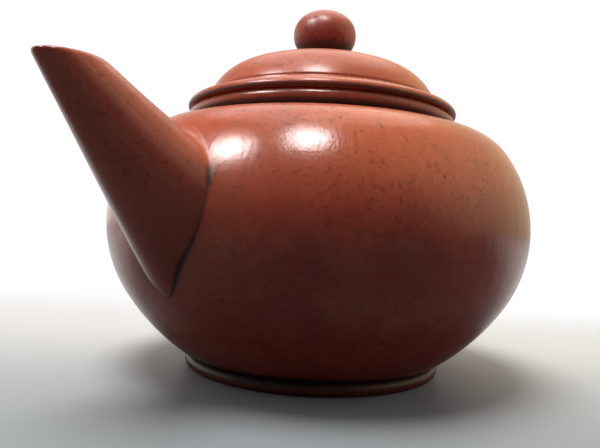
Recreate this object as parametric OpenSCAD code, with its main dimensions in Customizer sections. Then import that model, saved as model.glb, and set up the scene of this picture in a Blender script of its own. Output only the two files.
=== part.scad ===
// Small lidded clay teapot: a flattened globe with a straight tapered spout,
// an ear-shaped handle and a loose lid with a ball knob.
// Millimetres, +Z up. The origin is the middle of the foot, on the table.
// The spout points along -X and the handle along +X.

/* [Pot] */
// Diameter of the pot at its widest
body_d = 85.4; // [80:0.2:95]
// Height of the widest ring above the table
belly_z = 29.2; // [27:0.1:33]
// Radius of the belly's curve
belly_r = 25.9; // [24:0.1:28]
// Radius of the tighter curve over the shoulder
shoulder_r = 11.4; // [9:0.2:14]
// Angle above level where the belly's curve passes into the shoulder's, at the seam between the two pieces
shoulder_angle = 34; // [30:1:38]
// Radius of the flatter curve under the belly
under_r = 43.5; // [36:0.5:52]
// Angle below level where the belly's curve passes into the one under it
under_angle = 34; // [32:1:38]
// Thickness of the wall and the shoulder
wall = 2.8; // [2:0.1:3.6]
// Thickness of the base disc
base_t = 2.8; // [2:0.1:4]

/* [Foot] */
// Outer diameter of the foot ring
foot_d = 52.6; // [46:0.2:60]
// Height of the foot ring, from the table to the underside of the base
foot_h = 2.6; // [2:0.1:4]
// Width of the foot ring
foot_w = 4.9; // [3.5:0.1:7]

/* [Mouth] */
// Diameter of the mouth's opening
mouth_d = 44.6; // [38:0.2:48]
// Width of the mouth ring, from the opening to the outside of its bead
rim_w = 5.5; // [3.6:0.1:7]
// Height of the mouth ring
rim_h = 3.5; // [1.8:0.1:4.2]

/* [Spout] */
// Distance that the middle of the lip stands out past the belly
spout_out = 16.8; // [12:0.2:22]
// Drop from the seat of the lid to the lip of the spout
lip_drop = 2.5; // [0:0.1:4]
// Angle of the spout's axis above level
spout_rise = 41; // [36:1:46]
// Outside diameter of the spout at its lip
tip_d = 6.5; // [6:0.1:9]
// Outside diameter of the spout at its inner end, before it is cut to fit the pot
root_d = 24; // [20:0.2:26]
// Thickness of the clay at the lip
lip_wall = 1.1; // [0.8:0.1:1.6]
// Thickness of the clay at the inner end of the spout
spout_wall = 2.6; // [2:0.1:3.4]
// Diameter of the strainer, a disc of the wall's own curve that is set in the wall behind the spout
strainer_d = 12.6; // [12:0.1:13.6]
// Diameter of each hole in the strainer
strainer_hole_d = 2.2; // [1.6:0.1:2.6]
// Distance from the middle hole of the strainer to those round it
strainer_pitch = 3.9; // [3.5:0.1:4.2]

/* [Handle] */
// Distance that the outside of the handle stands out past the belly
handle_out = 26.5; // [22:0.5:32]
// Height of the handle's loop over its outside
handle_h = 35; // [32:0.5:38]
// Drop from the widest ring of the pot to the middle of the handle's loop
handle_drop = 3.6; // [2:0.2:5]
// Width of the handle at its upper end
handle_w_top = 8.8; // [7:0.2:11]
// Width of the handle at its lower end
handle_w_low = 6.6; // [5:0.2:9]
// Thickness of the handle at its upper end
handle_t_top = 6.4; // [5:0.2:8]
// Thickness of the handle at its lower end
handle_t_low = 5.2; // [4:0.2:7]

/* [Lid] */
// Gap all round between the lid's flange and the mouth
lid_clearance = 0.35; // [0.3:0.05:0.8]
// Distance that the lid's bead stands out past the mouth's bead
lid_overhang = 0.3; // [0:0.1:1]
// Height of the lid's bead
lid_bead_h = 2.95; // [2.4:0.05:5]
// Distance from the outside of the lid's bead in to the foot of the dome
dome_inset = 4.2; // [3:0.1:5]
// Height of the dome above the lid's bead
dome_rise = 10; // [8.5:0.1:14]
// Radius of the tighter curve round the dome's edge
dome_edge_r = 10.8; // [9:0.1:11.5]
// Angle above level at which the curve of the dome's edge starts, at the bead
dome_foot_angle = 19; // [12:1:24]
// Thickness of the dome
dome_wall = 3; // [2:0.1:3.4]
// Thickness of the flange under the lid
flange_t = 2.2; // [1.6:0.1:3]
// Depth of the flange below the seat
flange_depth = 8.5; // [5:0.5:12]
// Diameter of the knob, a ball that is a little flattened
knob_d = 13.5; // [11.5:0.5:17]
// Height of the knob
knob_h = 11.2; // [8:0.2:13.4]
// Depth that the knob is set below the crown of the dome
knob_sink = 1; // [0.6:0.1:2.5]
// Diameter of the vent hole through the knob and the dome
vent_d = 1.8; // [1.2:0.1:2.6]

/* [Hidden] */
$fn = 128;

clay = "#96472f";
clay_light = "#a9553a";
clay_dark = "#823c28";

// Half outline of the pot: three arcs that run on into each other, with a flat top and base
belly_c = [body_d / 2 - belly_r, belly_z];
shoulder_c = belly_c + (belly_r - shoulder_r) * [cos(shoulder_angle), sin(shoulder_angle)];
under_c = belly_c + (belly_r - under_r) * [cos(under_angle), -sin(under_angle)];
top_z = shoulder_c.y + shoulder_r;
floor_z = foot_h + base_t;

// The lid's flat seat on the mouth ring
seat_z = top_z + rim_h;
mouth_r = mouth_d / 2;
rim_r = mouth_r + rim_w;

// The spout's axis runs down from the middle of the lip into the pot, to a set depth past the belly
spout_x = body_d / 2 + spout_out;
lip_z = seat_z - lip_drop;
root_depth = 12;
spout_len = (spout_out + root_depth) / cos(spout_rise);
lip_spare = 6;
strainer_z = lip_z - spout_out * tan(spout_rise);
strainer_ring = 6;

// The handle's middle line is an ellipse whose two ends lie inside the pot
handle_in = 2;
handle_x = body_d / 2 - handle_in;
handle_z = belly_z - handle_drop;
handle_half_x = body_d / 2 + handle_out - (handle_t_top + handle_t_low) / 4 - handle_x;
handle_half_z = handle_h / 2 - (handle_t_top + handle_t_low) / 4;
handle_end = 130;
handle_rings = 40;
handle_sides = 24;

// The lid, from its seat up
flange_r = mouth_r - lid_clearance;
bead_r = rim_r + lid_overhang;
bead_z = seat_z + lid_bead_h;
dome_r = bead_r - dome_inset;
crown_z = bead_z + dome_rise;

// Half outline of the dome: the curve of its edge, which runs on into the wide curve of its crown
dome_edge_c = [dome_r, bead_z] - dome_edge_r * [cos(dome_foot_angle), sin(dome_foot_angle)];
edge_drop = crown_z - dome_edge_c.y;
crown_r = (dome_edge_c.x ^ 2 + edge_drop ^ 2 - dome_edge_r ^ 2) / (2 * (edge_drop - dome_edge_r));
crown_c = [0, crown_z - crown_r];
crown_angle = atan2(dome_edge_c.y - crown_c.y, dome_edge_c.x);

// Half outline of the knob: an oval of four arcs, drawn from its two half axes
knob_half = [knob_d / 2, knob_h / 2];
knob_z = crown_z - knob_sink + knob_half.y;
oval_c = norm(knob_half);
oval_step = knob_half.x - knob_half.y;
oval_side_r = oval_c * (oval_c - oval_step) / (2 * knob_half.x);
oval_cap_r = oval_c * (oval_c + oval_step) / (2 * knob_half.y);
oval_angle = atan2(oval_cap_r - knob_half.y, knob_half.x - oval_side_r);

// Slice of a disc between two angles, in the half outline's plane
module sector(c, r, from, to) {
    reach = 2 * r;
    middle = (from + to) / 2;
    intersection() {
        translate(c) circle(r);
        polygon([c, c + reach * [cos(from), sin(from)], c + reach * [cos(middle), sin(middle)],
            c + reach * [cos(to), sin(to)]]);
    }
}

// Point on the belly's curve, taken in by inset, at an angle above level
function on_belly(inset, angle) = belly_c + (belly_r - inset) * [cos(angle), sin(angle)];

// Half outline of the pot, taken in by inset on its curves and top, and flat at low_z
module globe(inset, low_z) {
    intersection() {
        union() {
            polygon([[0, low_z], [under_c.x, low_z], on_belly(inset, -under_angle),
                on_belly(inset, shoulder_angle), [shoulder_c.x, top_z - inset], [0, top_z - inset]]);
            sector(under_c, under_r - inset, -90, -under_angle);
            sector(belly_c, belly_r - inset, -under_angle, shoulder_angle);
            sector(shoulder_c, shoulder_r - inset, shoulder_angle, 90);
        }
        translate([0, low_z]) square([body_d, top_z]);
    }
}

// Half section of the hollow pot, with its base
module shell() {
    difference() {
        globe(0, foot_h);
        globe(wall, floor_z);
    }
}

// Everything in the half section that lies below the seam between wall and shoulder
module below_seam() {
    polygon([[0, 0], belly_c, on_belly(-body_d, shoulder_angle), [2 * body_d, 0]]);
}

// The pot's whole form, used to cut what is joined to its outside
module pot_form() {
    rotate_extrude() globe(0, foot_h);
}

// Ring with a rounded outer edge, standing on low_z
module bead_section(inner_r, outer_r, low_z, high_z) {
    half = (high_z - low_z) / 2;
    translate([inner_r, low_z]) square([outer_r - half - inner_r, 2 * half]);
    translate([outer_r - half, low_z + half]) circle(half);
}

module base_disc() {
    color(clay_dark) rotate_extrude() intersection() {
        globe(0, foot_h);
        square([body_d, floor_z]);
    }
}

// The foot's inner part runs up to the curve of the pot, and its bead leaves a groove there
module foot_ring() {
    inner_r = foot_d / 2 - foot_w;
    color(clay_dark) difference() {
        rotate_extrude() {
            bead_section(inner_r, foot_d / 2, 0, foot_h);
            translate([inner_r, 0]) square([foot_w - foot_h / 2, 2 * foot_h]);
        }
        pot_form();
    }
}

module body_wall() {
    color(clay) difference() {
        rotate_extrude() intersection() {
            shell();
            below_seam();
            translate([0, floor_z]) square([body_d, top_z]);
        }
        strainer_bore(strainer_d);
    }
}

// Level bore through the wall behind the spout
module strainer_bore(d) {
    translate([-body_d / 2 - wall, 0, strainer_z]) rotate([0, 90, 0]) cylinder(h = belly_r, d = d);
}

// The strainer has one hole in its middle and a ring of holes round that
module strainer() {
    color(clay_dark) difference() {
        intersection() {
            rotate_extrude() intersection() {
                shell();
                below_seam();
            }
            strainer_bore(strainer_d);
        }
        strainer_bore(strainer_hole_d);
        for (i = [0 : strainer_ring - 1])
            translate(strainer_pitch * [0, cos(i * 360 / strainer_ring), sin(i * 360 / strainer_ring)])
                strainer_bore(strainer_hole_d);
    }
}

module shoulder() {
    color(clay) rotate_extrude() difference() {
        shell();
        below_seam();
        square([mouth_r, 2 * top_z]);
    }
}

// The ring's inner part runs down to the shoulder, whatever its curve
module mouth_ring() {
    color(clay_light) difference() {
        rotate_extrude() {
            bead_section(mouth_r, rim_r, top_z, seat_z);
            translate([mouth_r, top_z - rim_h]) square([rim_w - rim_h / 2, rim_h]);
        }
        pot_form();
    }
}

// Cone along the spout's axis, a little longer than the spout at the lip
module spout_cone(tip_r, root_r) {
    taper = (root_r - tip_r) / spout_len;
    translate([-spout_x, 0, lip_z]) rotate([0, 90 + spout_rise, 0]) translate([0, 0, -lip_spare])
        cylinder(h = spout_len + lip_spare, r1 = tip_r - taper * lip_spare, r2 = root_r);
}

module spout() {
    color(clay) difference() {
        intersection() {
            spout_cone(tip_d / 2, root_d / 2);
            translate([-2 * spout_x, -body_d / 2, 0]) cube([2 * spout_x, body_d, lip_z]);
        }
        pot_form();
        spout_cone(tip_d / 2 - lip_wall, root_d / 2 - spout_wall);
    }
}

// Oval section of the handle at angle a round its ellipse, at share u from its upper end
function handle_section(a, u) =
    let (slope = [cos(a) / handle_half_x, sin(a) / handle_half_z],
        out = slope / norm(slope),
        half_t = (handle_t_top + (handle_t_low - handle_t_top) * u) / 2,
        half_w = (handle_w_top + (handle_w_low - handle_w_top) * u) / 2)
    [for (i = [0 : handle_sides - 1])
        let (b = i * 360 / handle_sides, step = half_t * cos(b))
        [handle_x + handle_half_x * cos(a) + out.x * step, half_w * sin(b),
            handle_z + handle_half_z * sin(a) + out.y * step]];

module handle() {
    points = [for (k = [0 : handle_rings]) let (u = k / handle_rings)
        each handle_section(handle_end * (1 - 2 * u), u)];
    last = handle_rings * handle_sides;
    sides = [for (k = [0 : handle_rings - 1], i = [0 : handle_sides - 1])
        let (j = (i + 1) % handle_sides, a = k * handle_sides, b = a + handle_sides)
        each [[a + i, a + j, b + i], [a + j, b + j, b + i]]];
    upper_end = [for (i = [1 : handle_sides - 2]) [0, i + 1, i]];
    lower_end = [for (i = [1 : handle_sides - 2]) [last, last + i, last + i + 1]];
    color(clay) difference() {
        polyhedron(points, concat(sides, upper_end, lower_end));
        pot_form();
    }
}

// Half section of the dome above the bead, taken in by inset on its curves
module dome(inset) {
    edge_r = dome_edge_r - inset;
    edge_join = dome_edge_c + edge_r * [cos(crown_angle), sin(crown_angle)];
    edge_foot = dome_edge_c + edge_r * [cos(dome_foot_angle), sin(dome_foot_angle)];
    intersection() {
        union() {
            polygon([[0, dome_edge_c.y], dome_edge_c, edge_foot, edge_join, [0, edge_join.y]]);
            sector(dome_edge_c, edge_r, 0, crown_angle);
            sector(crown_c, crown_r - inset, crown_angle, 90);
        }
        translate([0, bead_z]) square([bead_r, dome_rise]);
    }
}

// Half section of the vent hole
module vent() {
    square([vent_d / 2, knob_z + knob_h]);
}

module lid_cover() {
    color(clay) rotate_extrude() difference() {
        dome(0);
        dome(dome_wall);
        vent();
    }
}

module lid_rim() {
    color(clay_light) rotate_extrude() bead_section(flange_r - flange_t, bead_r, seat_z, bead_z);
}

module lid_flange() {
    color(clay_dark) rotate_extrude()
        translate([flange_r - flange_t, seat_z - flange_depth]) square([flange_t, flange_depth]);
}

// Half section of the whole oval knob
module oval() {
    side_c = [knob_half.x - oval_side_r, knob_z];
    join = oval_side_r * [cos(oval_angle), sin(oval_angle)];
    polygon([[0, knob_z - knob_half.y], side_c + [join.x, -join.y], [knob_half.x, knob_z], side_c + join,
        [0, knob_z + knob_half.y]]);
    sector(side_c, oval_side_r, -oval_angle, oval_angle);
    sector([0, knob_z + knob_half.y - oval_cap_r], oval_cap_r, oval_angle, 90);
    sector([0, knob_z - knob_half.y + oval_cap_r], oval_cap_r, -90, -oval_angle);
}

module knob() {
    color(clay_light) rotate_extrude() difference() {
        oval();
        dome(0);
        vent();
    }
}

base_disc();
foot_ring();
body_wall();
strainer();
shoulder();
mouth_ring();
spout();
handle();
lid_cover();
lid_rim();
lid_flange();
knob();
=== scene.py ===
# %% [markdown]
# # A small burnished clay teapot
# The pot is thrown and beaten from red-brown clay, left without glaze and rubbed smooth until it shines.
# A plain CAD model already holds its pieces at their real size. This lesson dresses that model: it makes
# softer, truer skins for the same pieces, in the same place, and gives them the look of old fired clay.

# %% Load the plain model
import math

import bmesh
import bpy
import numpy as np
from mathutils import Matrix, Vector


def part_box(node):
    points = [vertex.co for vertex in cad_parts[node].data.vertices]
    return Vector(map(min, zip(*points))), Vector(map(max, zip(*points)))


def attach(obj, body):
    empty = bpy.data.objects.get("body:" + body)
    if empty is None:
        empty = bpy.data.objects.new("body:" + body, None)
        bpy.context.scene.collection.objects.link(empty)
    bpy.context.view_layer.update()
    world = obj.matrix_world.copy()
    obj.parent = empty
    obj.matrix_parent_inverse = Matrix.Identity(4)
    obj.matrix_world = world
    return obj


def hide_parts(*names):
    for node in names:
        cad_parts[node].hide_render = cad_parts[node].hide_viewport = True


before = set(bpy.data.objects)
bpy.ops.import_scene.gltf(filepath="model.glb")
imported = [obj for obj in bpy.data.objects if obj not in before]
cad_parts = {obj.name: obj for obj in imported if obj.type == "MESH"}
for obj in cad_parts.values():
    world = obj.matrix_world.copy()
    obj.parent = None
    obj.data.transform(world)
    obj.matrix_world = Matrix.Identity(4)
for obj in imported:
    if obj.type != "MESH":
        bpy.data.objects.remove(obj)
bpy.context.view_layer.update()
print("plain nodes:", ", ".join(sorted(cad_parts)))

# %% [markdown]
# ## Sizes
# A potter's drawing is in millimetres, and Blender works in metres. Sizes of the pot are millimetres here,
# and each mesh is scaled once, when it is made. Whatever the plain model can tell is read from it, so the
# skins stay on the pieces. Only the curves inside an outline, which no box can tell, are written again.

# %% Read the main sizes
MM = 0.001


def node_box(node):
    """The lowest and highest corner of a plain node, in millimetres."""
    low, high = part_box(node)
    return np.array(low) / MM, np.array(high) / MM


def widest(node):
    """How far a round node reaches from the axis."""
    return node_box(node)[1][0]


def lowest(node):
    """The height of a node's lowest point."""
    return node_box(node)[0][2]


def highest(node):
    """The height of a node's highest point."""
    return node_box(node)[1][2]


belly_out = widest("body_wall")
foot_out = widest("foot_ring")
under_z = lowest("base_disc")
floor_z = highest("base_disc")
top_z = highest("shoulder")
seat_z = highest("mouth_ring")
mouth_out = widest("mouth_ring")
flange_low = lowest("lid_flange")
flange_out = widest("lid_flange")
bead_out = widest("lid_rim")
bead_z = highest("lid_rim")
crown_z = highest("lid_cover")
knob_out = widest("knob")
knob_low = lowest("knob")
knob_top = highest("knob")
print(f"belly {2 * belly_out:.1f} mm wide, lid seat {seat_z:.1f} mm high, knob top {knob_top:.1f} mm high")

# %% [markdown]
# ## The camera
# The lens stands close to the pot, low, on the side of the spout, and is tilted a little to one side. A
# Track To constraint could aim it, but would hold it upright, so it is turned by its own three angles. It is
# placed first, because every other choice is judged through it.

# %% Place the camera
CAMERA_PLACE = Vector((-98.32, -69.36, 27.51)) * MM
CAMERA_TURN = math.radians(-53.14)
CAMERA_PITCH = math.radians(90.97)
CAMERA_ROLL = math.radians(2.64)
CAMERA_AHEAD = Vector((-math.sin(CAMERA_TURN), math.cos(CAMERA_TURN), 0.0))


def new_object(name, data):
    """A new object in the scene."""
    made = bpy.data.objects.new(name, data)
    bpy.context.scene.collection.objects.link(made)
    return made


camera = new_object("camera", bpy.data.cameras.new("camera"))
camera.data.sensor_width = 36.0
camera.data.lens = 33.6
camera.data.clip_start = 0.005
camera.matrix_world = (
    Matrix.Translation(CAMERA_PLACE)
    @ Matrix.Rotation(CAMERA_TURN, 4, "Z")
    @ Matrix.Rotation(CAMERA_PITCH, 4, "X")
    @ Matrix.Rotation(CAMERA_ROLL, 4, "Z")
)
bpy.context.scene.camera = camera
print(f"the lens is {CAMERA_PLACE.xy.length / MM:.0f} mm from the axis of the pot")

# %% [markdown]
# ## Helpers for node trees
# Shaders and Geometry Nodes are both trees of nodes. One helper adds a node, sets its properties and plugs
# in its inputs, so that a tree below reads from top to bottom like a recipe. A few more do common sums.

# %% Helpers for node trees
def add(tree, kind, inputs=(), **settings):
    """Adds a node. Inputs maps a socket to a plain value, another socket, or a node's first output."""
    node = tree.nodes.new(kind)
    for name, value in settings.items():
        setattr(node, name, value)
    for place, value in dict(inputs).items():
        if isinstance(value, bpy.types.Node):
            value = value.outputs[0]
        if isinstance(value, bpy.types.NodeSocket):
            tree.links.new(value, node.inputs[place])
        else:
            node.inputs[place].default_value = value
    return node


def sockets(tree, side, **kinds):
    """Gives a tree named inputs or outputs: Spacing="Float" makes a socket Spacing of that kind."""
    for name, kind in kinds.items():
        tree.interface.new_socket(name, in_out=side, socket_type="NodeSocket" + kind)


def calc(tree, operation, first, second=0.0):
    """A Math node's result."""
    return add(tree, "ShaderNodeMath", {0: first, 1: second}, operation=operation).outputs[0]


def times(tree, first, second):
    """One value times another."""
    return calc(tree, "MULTIPLY", first, second)


def plus(tree, base, value, share):
    """The base plus a share of the value."""
    return add(tree, "ShaderNodeMath", {0: value, 1: share, 2: base}, operation="MULTIPLY_ADD").outputs[0]


def vector_calc(tree, operation, first, second=(0.0, 0.0, 0.0)):
    """A Vector Math node's result: a number for a length or a dot product, and otherwise a vector."""
    node = add(tree, "ShaderNodeVectorMath", {0: first, 1: second}, operation=operation)
    return node.outputs["Value" if operation in ("LENGTH", "DOT_PRODUCT") else "Vector"]


def fade(tree, value, start, stop):
    """Rises smoothly from 0 at start to 1 at stop."""
    places = {"Value": value, "From Min": start, "From Max": stop}
    return add(tree, "ShaderNodeMapRange", places, interpolation_type="SMOOTHSTEP").outputs[0]


def blend_colour(tree, share, first, second):
    """Goes from the first colour to the second as share goes from 0 to 1."""
    places = {0: share, 6: first, 7: second}
    return add(tree, "ShaderNodeMix", places, data_type="RGBA").outputs[2]


def noise(tree, place, scale, detail=2.0):
    """A Noise texture's value, with its scale in cells per metre."""
    return add(tree, "ShaderNodeTexNoise", {"Vector": place, "Scale": scale, "Detail": detail}).outputs[0]


def attribute(tree, name):
    """A number that is stored on the points of a mesh."""
    return add(tree, "ShaderNodeAttribute", attribute_name=name).outputs["Fac"]


helpers = (add, sockets, calc, times, plus, vector_calc, fade, blend_colour, noise, attribute)
print("helpers:", ", ".join(helper.__name__ for helper in helpers))

# %% [markdown]
# ## What fired clay shows
# Close up, the clay isn't one colour. The firing leaves soft patches a fingertip wide, coarse grains show as
# dark pits, brown flecks and a few pale specks, and rubbing with a smooth tool leaves faint upright strokes.
# Pictures wrapped round the pot could show that, but they would stretch on so round a form. Noise in Object
# coordinates doesn't, and its marks stay on the clay when the lid is lifted. Each effect is a shader node
# group, built once, which the materials place with their own values.

# %% Shader groups for grains and patches
def shader_group(name, outputs, **inputs):
    """An empty shader group with its input and output nodes."""
    group = bpy.data.node_groups.new(name, "ShaderNodeTree")
    sockets(group, "INPUT", **inputs)
    sockets(group, "OUTPUT", **outputs)
    return group, group.nodes.new("NodeGroupInput").outputs, group.nodes.new("NodeGroupOutput").inputs


def grit_specks():
    """Crooked grains in loose clusters: Spacing in metres, Radius as a share of it, Share for how many."""
    group, given, out = shader_group(
        "grit_specks", {"Mask": "Float"}, Place="Vector", Spacing="Float", Share="Float", Radius="Float"
    )
    place = given["Place"]
    scale = calc(group, "DIVIDE", 1.0, given["Spacing"])
    cells = add(group, "ShaderNodeTexVoronoi", {"Vector": place, "Scale": scale})
    chance = add(group, "ShaderNodeSeparateColor", {0: cells.outputs["Color"]})
    crowd = fade(group, noise(group, place, 75.0), 0.30, 0.62)
    chosen = calc(group, "LESS_THAN", chance.outputs[0], times(group, given["Share"], crowd))
    size = times(group, given["Radius"], calc(group, "ADD", chance.outputs[1], 0.5))
    crooked = plus(group, 0.35, noise(group, place, times(group, scale, 3.0)), 1.3)
    edge = times(group, cells.outputs["Distance"], crooked)
    grain = fade(group, edge, size, times(group, size, 0.3))
    group.links.new(times(group, grain, chosen), out["Mask"])
    return group


def brown_flecks():
    """Small crooked flecks of darker clay in loose clusters. Size is their spacing in metres."""
    group, given, out = shader_group("brown_flecks", {"Mask": "Float"}, Place="Vector", Size="Float")
    fine = noise(group, given["Place"], calc(group, "DIVIDE", 1.0, given["Size"]), detail=4.0)
    crowd = fade(group, noise(group, given["Place"], 90.0), 0.22, 0.58)
    group.links.new(times(group, fade(group, fine, 0.52, 0.72), crowd), out["Mask"])
    return group


def fired_patches():
    """Soft patches of the firing, large ones with a fine mottle inside them."""
    group, given, out = shader_group("fired_patches", {"Tone": "Float"}, Place="Vector", Patch="Float")
    scale = calc(group, "DIVIDE", 1.0, given["Patch"])
    large = noise(group, given["Place"], scale, detail=3.0)
    mottle = noise(group, given["Place"], times(group, scale, 9.0), detail=5.0)
    both = plus(group, times(group, large, 0.68), mottle, 0.32)
    group.links.new(fade(group, both, 0.34, 0.66), out["Tone"])
    return group


GRIT = grit_specks()
FLECKS = brown_flecks()
PATCHES = fired_patches()
print("shader groups:", GRIT.name, FLECKS.name, PATCHES.name)


# %% Shader groups for the marks of tools
def rubbed_strokes():
    """Faint upright strokes of the rubbing tool, Width across and many times as long."""
    group, given, out = shader_group("rubbed_strokes", {"Height": "Float"}, Place="Vector", Width="Float")
    drawn_out = add(group, "ShaderNodeMapping", {"Vector": given["Place"], "Scale": (1.0, 1.0, 0.16)})
    scale = calc(group, "DIVIDE", 1.0, given["Width"])
    group.links.new(noise(group, drawn_out, scale, detail=3.0), out["Height"])
    return group


def turning_rings():
    """Fine rings that a rib leaves on a turning lid, Pitch apart, from the distance to the axis."""
    group, given, out = shader_group("turning_rings", {"Height": "Float"}, Place="Vector", Pitch="Float")
    flat = vector_calc(group, "MULTIPLY", given["Place"], (1.0, 1.0, 0.0))
    turns = calc(group, "DIVIDE", vector_calc(group, "LENGTH", flat), given["Pitch"])
    places = {"W": turns, "Scale": 1.0, "Detail": 3.0}
    rings = add(group, "ShaderNodeTexNoise", places, noise_dimensions="1D")
    group.links.new(rings.outputs[0], out["Height"])
    return group


STROKES = rubbed_strokes()
RINGS = turning_rings()
print("shader groups:", STROKES.name, RINGS.name)

# %% [markdown]
# ## The clay
# One recipe makes every clay surface, because a material of its own for each piece would soon drift apart.
# The colour goes from a deep tone to a paler, warmer one, partly in soft patches and mostly by height. The
# height part is painted light: paler and warmer high up, where the lamps fall on the pot, and deeper low
# down, where it is in shade. Spout, handle and knob, shaped by hand, take a darker and browner copy of both
# tones.
# Seams hold dark grime, and the same dark colour paints shade in the grooves, under the beads and under the
# knob. The rubbed outside is glossy, with strokes and fine scratches, and the lid shows its turning rings.
# The inside was never rubbed, so it is dull and stained by tea. Grime and painted shade, the darker copy and
# less rubbed places follow attributes that are stored on the meshes further down.

# %% Clay colours
# WARM_LIT_CLAY is the paler colour of the painted light high on the pot, and DEEP_CLAY its shaded colour low
# down.
DEEP_CLAY = (0.275, 0.026, 0.019, 1.0)
WARM_LIT_CLAY = (0.575, 0.130, 0.052, 1.0)
ASHY_CLAY = (0.280, 0.090, 0.042, 1.0)
DARKER_DEEP = (0.300, 0.033, 0.024, 1.0)
DARKER_WARM = (0.450, 0.095, 0.050, 1.0)
FLECK_COLOUR = (0.170, 0.032, 0.017, 1.0)
PIT_COLOUR = (0.095, 0.022, 0.012, 1.0)
PALE_GRAIN = (0.52, 0.25, 0.16, 1.0)
# This dark colour is both grime in the seams and painted shade in the grooves, under the beads and under the
# knob.
GRIME_AND_SHADE_COLOUR = (0.014, 0.009, 0.009, 1.0)
TEA_STAIN = (0.060, 0.022, 0.012, 1.0)
# The painted light runs from shade at the first height to full light at the second, in millimetres.
painted_light_from_z = 21.5
painted_light_to_z = 40.5
pit_depth = 0.008
print(f"the clay warms from {painted_light_from_z} to {painted_light_to_z} mm above the table")


# %% Clay materials
def new_material(name):
    """A new material, its tree, its shader and its Object coordinates."""
    material = bpy.data.materials.new(name)
    material.use_nodes = True
    tree = material.node_tree
    return material, tree, tree.nodes["Principled BSDF"], add(tree, "ShaderNodeTexCoord").outputs["Object"]


def place_group(tree, group, place, **values):
    """Places a shader group in a material with its own values, and returns its result."""
    node = add(tree, "ShaderNodeGroup", node_tree=group)
    tree.links.new(place, node.inputs["Place"])
    for name, value in values.items():
        node.inputs[name].default_value = value
    return node.outputs[0]


def clay_material(name, deep, warm, gloss, speckled, ring_height, stroke_height, grain_height):
    """Fired clay. Gloss is its mean roughness, and the heights are in millimetres."""
    material, tree, shader, place = new_material(name)
    tone = place_group(tree, PATCHES, place, Patch=0.013)
    ash = place_group(tree, PATCHES, place, Patch=0.024)
    flecks = place_group(tree, FLECKS, place, Size=0.0009)
    pits = place_group(tree, GRIT, place, Spacing=0.0026, Share=0.6, Radius=0.14)
    pits = times(tree, pits, speckled)
    pale = place_group(tree, GRIT, place, Spacing=0.0030, Share=0.25, Radius=0.07)
    strokes = place_group(tree, STROKES, place, Width=0.0021)
    scratches = place_group(tree, STROKES, place, Width=0.0005)
    rings = place_group(tree, RINGS, place, Pitch=0.0007)
    grain = noise(tree, place, 2600.0, detail=3.0)
    # Grime in the seams and painted shade in grooves, under the beads and under the knob, broken up by
    # noise.
    broken = plus(tree, attribute(tree, "grime_and_shade"), noise(tree, place, 900.0, 4.0), 0.35)
    grime_and_shade = fade(tree, broken, 0.35, 0.95)
    height_z = add(tree, "ShaderNodeSeparateXYZ", {0: place}).outputs["Z"]
    # Painted light: the colour turns paler and warmer with height and stays deep in the shade low down.
    upper = fade(tree, height_z, painted_light_from_z * MM, painted_light_to_z * MM)
    tone_and_painted_light = plus(tree, times(tree, tone, 0.35), upper, 0.65)
    turned = blend_colour(tree, tone_and_painted_light, deep, warm)
    # Spout, handle and knob take a darker copy of the colours.
    darker_tone = blend_colour(tree, tone_and_painted_light, DARKER_DEEP, DARKER_WARM)
    colour = blend_colour(tree, attribute(tree, "darker_tone"), turned, darker_tone)
    layers = (
        (fade(tree, ash, 0.5, 1.0), 0.35, ASHY_CLAY),
        (pale, 0.4, PALE_GRAIN),
        (flecks, speckled, FLECK_COLOUR),
        (pits, 1.0, PIT_COLOUR),
        (grime_and_shade, 0.9, GRIME_AND_SHADE_COLOUR),
    )
    for mask, strength, tint in layers:
        colour = blend_colour(tree, times(tree, mask, strength), colour, tint)
    tree.links.new(colour, shader.inputs["Base Color"])
    rough = plus(tree, gloss - 0.06, grain, 0.12)
    for mask, rise in ((grime_and_shade, 0.25), (attribute(tree, "matte"), 0.14), (pits, 0.06)):
        rough = plus(tree, rough, mask, rise)
    tree.links.new(rough, shader.inputs["Roughness"])
    height = times(tree, strokes, stroke_height)
    fine_height = 0.55 * stroke_height
    reliefs = ((scratches, fine_height), (rings, ring_height), (grain, grain_height), (pits, -pit_depth))
    for relief, size in reliefs:
        height = plus(tree, height, relief, size)
    bump = add(tree, "ShaderNodeBump", {"Height": height, "Distance": MM})
    tree.links.new(bump.outputs[0], shader.inputs["Normal"])
    return material


burnished_clay = clay_material(
    "burnished_clay", DEEP_CLAY, WARM_LIT_CLAY, gloss=0.20, speckled=0.6,
    ring_height=0.0, stroke_height=0.036, grain_height=0.020,
)
turned_clay = clay_material(
    "turned_clay", DEEP_CLAY, WARM_LIT_CLAY, gloss=0.26, speckled=0.45,
    ring_height=0.011, stroke_height=0.002, grain_height=0.002,
)
inside_clay = clay_material(
    "inside_clay", TEA_STAIN, DEEP_CLAY, gloss=0.75, speckled=0.4,
    ring_height=0.020, stroke_height=0.050, grain_height=0.020,
)
print("materials:", burnished_clay.name, turned_clay.name, inside_clay.name)

# %% [markdown]
# ## Turning on the wheel
# Pot, lid and knob are turned: an outline goes once round the axis. Blender's Spin tool or a Screw modifier
# would do that, but a hand-made pot isn't quite round. So a Geometry Nodes tree does the turning. It lays a
# grid with one column for each step round the axis, takes each row's place from the outline, and turns it.
# A slow noise then draws the wall in by a tenth of a millimetre here and there. It never swells the wall,
# so the lid keeps its play in the mouth.

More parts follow.
